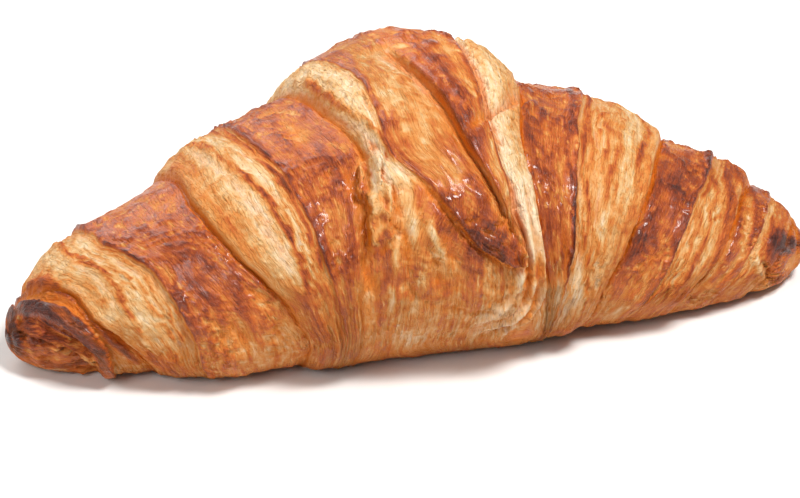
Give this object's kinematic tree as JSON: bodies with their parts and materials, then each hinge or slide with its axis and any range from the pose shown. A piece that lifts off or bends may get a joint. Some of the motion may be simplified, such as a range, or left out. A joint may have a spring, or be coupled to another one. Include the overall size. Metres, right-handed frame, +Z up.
{
  "type": "croissant",
  "caption": "Rolled butter croissant, nearly straight, with stepped wraps of flaky laminated dough and a flat baked base.",
  "frame": {"origin": "middle of the flat base that the croissant rests on, under the middle of its box", "axes": "+X along the roll, towards its right tip; +Y towards the back; +Z up, and the tongue of the outermost wrap ends on the front, at -Y"},
  "size_m": [0.165, 0.0748, 0.0568],
  "materials": {
    "crust": "satin"
  },
  "bodies": {
    "root": {"croissant": "crust"}
  },
  "joints": []
}
